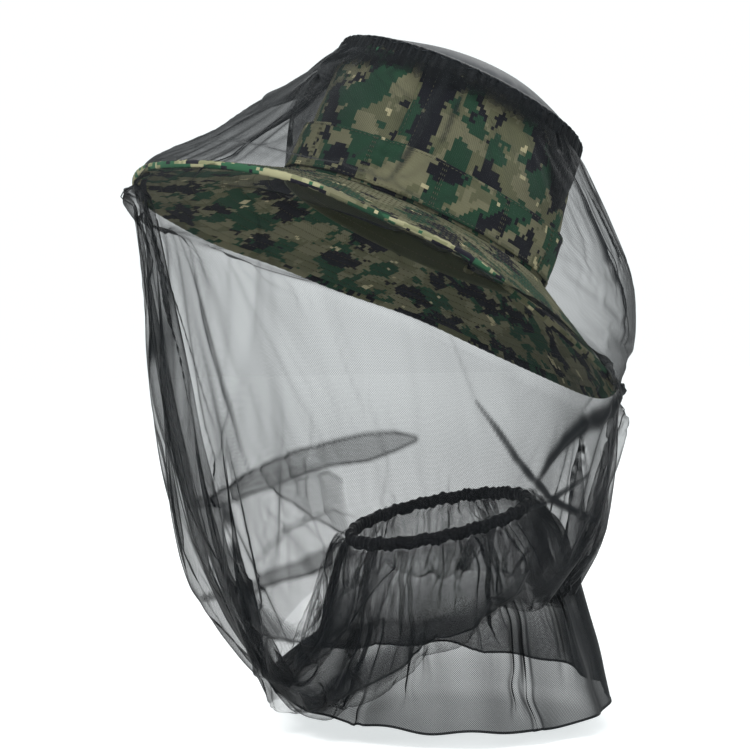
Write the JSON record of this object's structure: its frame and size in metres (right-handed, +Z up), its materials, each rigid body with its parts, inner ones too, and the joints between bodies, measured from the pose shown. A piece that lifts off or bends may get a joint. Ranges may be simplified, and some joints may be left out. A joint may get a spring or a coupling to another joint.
{
  "type": "beekeeping veil hat",
  "caption": "Wide-brimmed twill field hat covered by a fine net bee veil that hangs from the crown over the brim, gathers at an elastic neck collar and ends in a shoulder skirt.",
  "frame": {"origin": "the middle of the hat's head opening, at the join of crown and brim", "axes": "+Z up as worn, -Y towards the wearer's front, +X towards the wearer's left; the hat leans back and the collar's axis is upright, 22 mm behind the origin"},
  "size_m": [0.3503, 0.3611, 0.4646],
  "materials": {
    "camouflage_twill": "matte cotton twill printed with small square camouflage in olive, green, black and a little cream",
    "sweatband_cotton": "matte cotton tape",
    "brim_interlining": "stiff woven interlining, hidden between the brim plies",
    "black_netting": "fine knitted polyester mesh, see-through in one layer and near black where it bunches",
    "black_seam_tape": "bunched and folded netting with a stitched seam",
    "black_elastic": "flat braided elastic"
  },
  "bodies": {
    "hat": {"crown_front_panel": "camouflage_twill", "crown_rear_panel": "camouflage_twill", "crown_top_panel": "camouflage_twill", "foliage_band": "camouflage_twill", "sweatband": "sweatband_cotton", "brim_top_ply": "camouflage_twill", "brim_stiffener": "brim_interlining", "brim_under_ply": "camouflage_twill", "brim_edge_binding": "camouflage_twill", "veil_top_panel": "black_netting", "veil_top_seam": "black_seam_tape", "net_left_panel": "black_netting", "net_right_panel": "black_netting", "net_front_seam": "black_seam_tape", "net_back_seam": "black_seam_tape"},
    "collar": {"net_neck_gather": "black_netting", "neck_casing": "black_seam_tape", "neck_elastic": "black_elastic", "skirt_left_panel": "black_netting", "skirt_right_panel": "black_netting", "skirt_hem": "black_seam_tape"}
  },
  "joints": [
    {"name": "collar_turn", "type": "hinge", "parent": "hat", "child": "collar", "pos_m": [0, 0.022, -0.2015], "axis": [0, 0, 1], "range_deg": [-35, 35]}
  ]
}
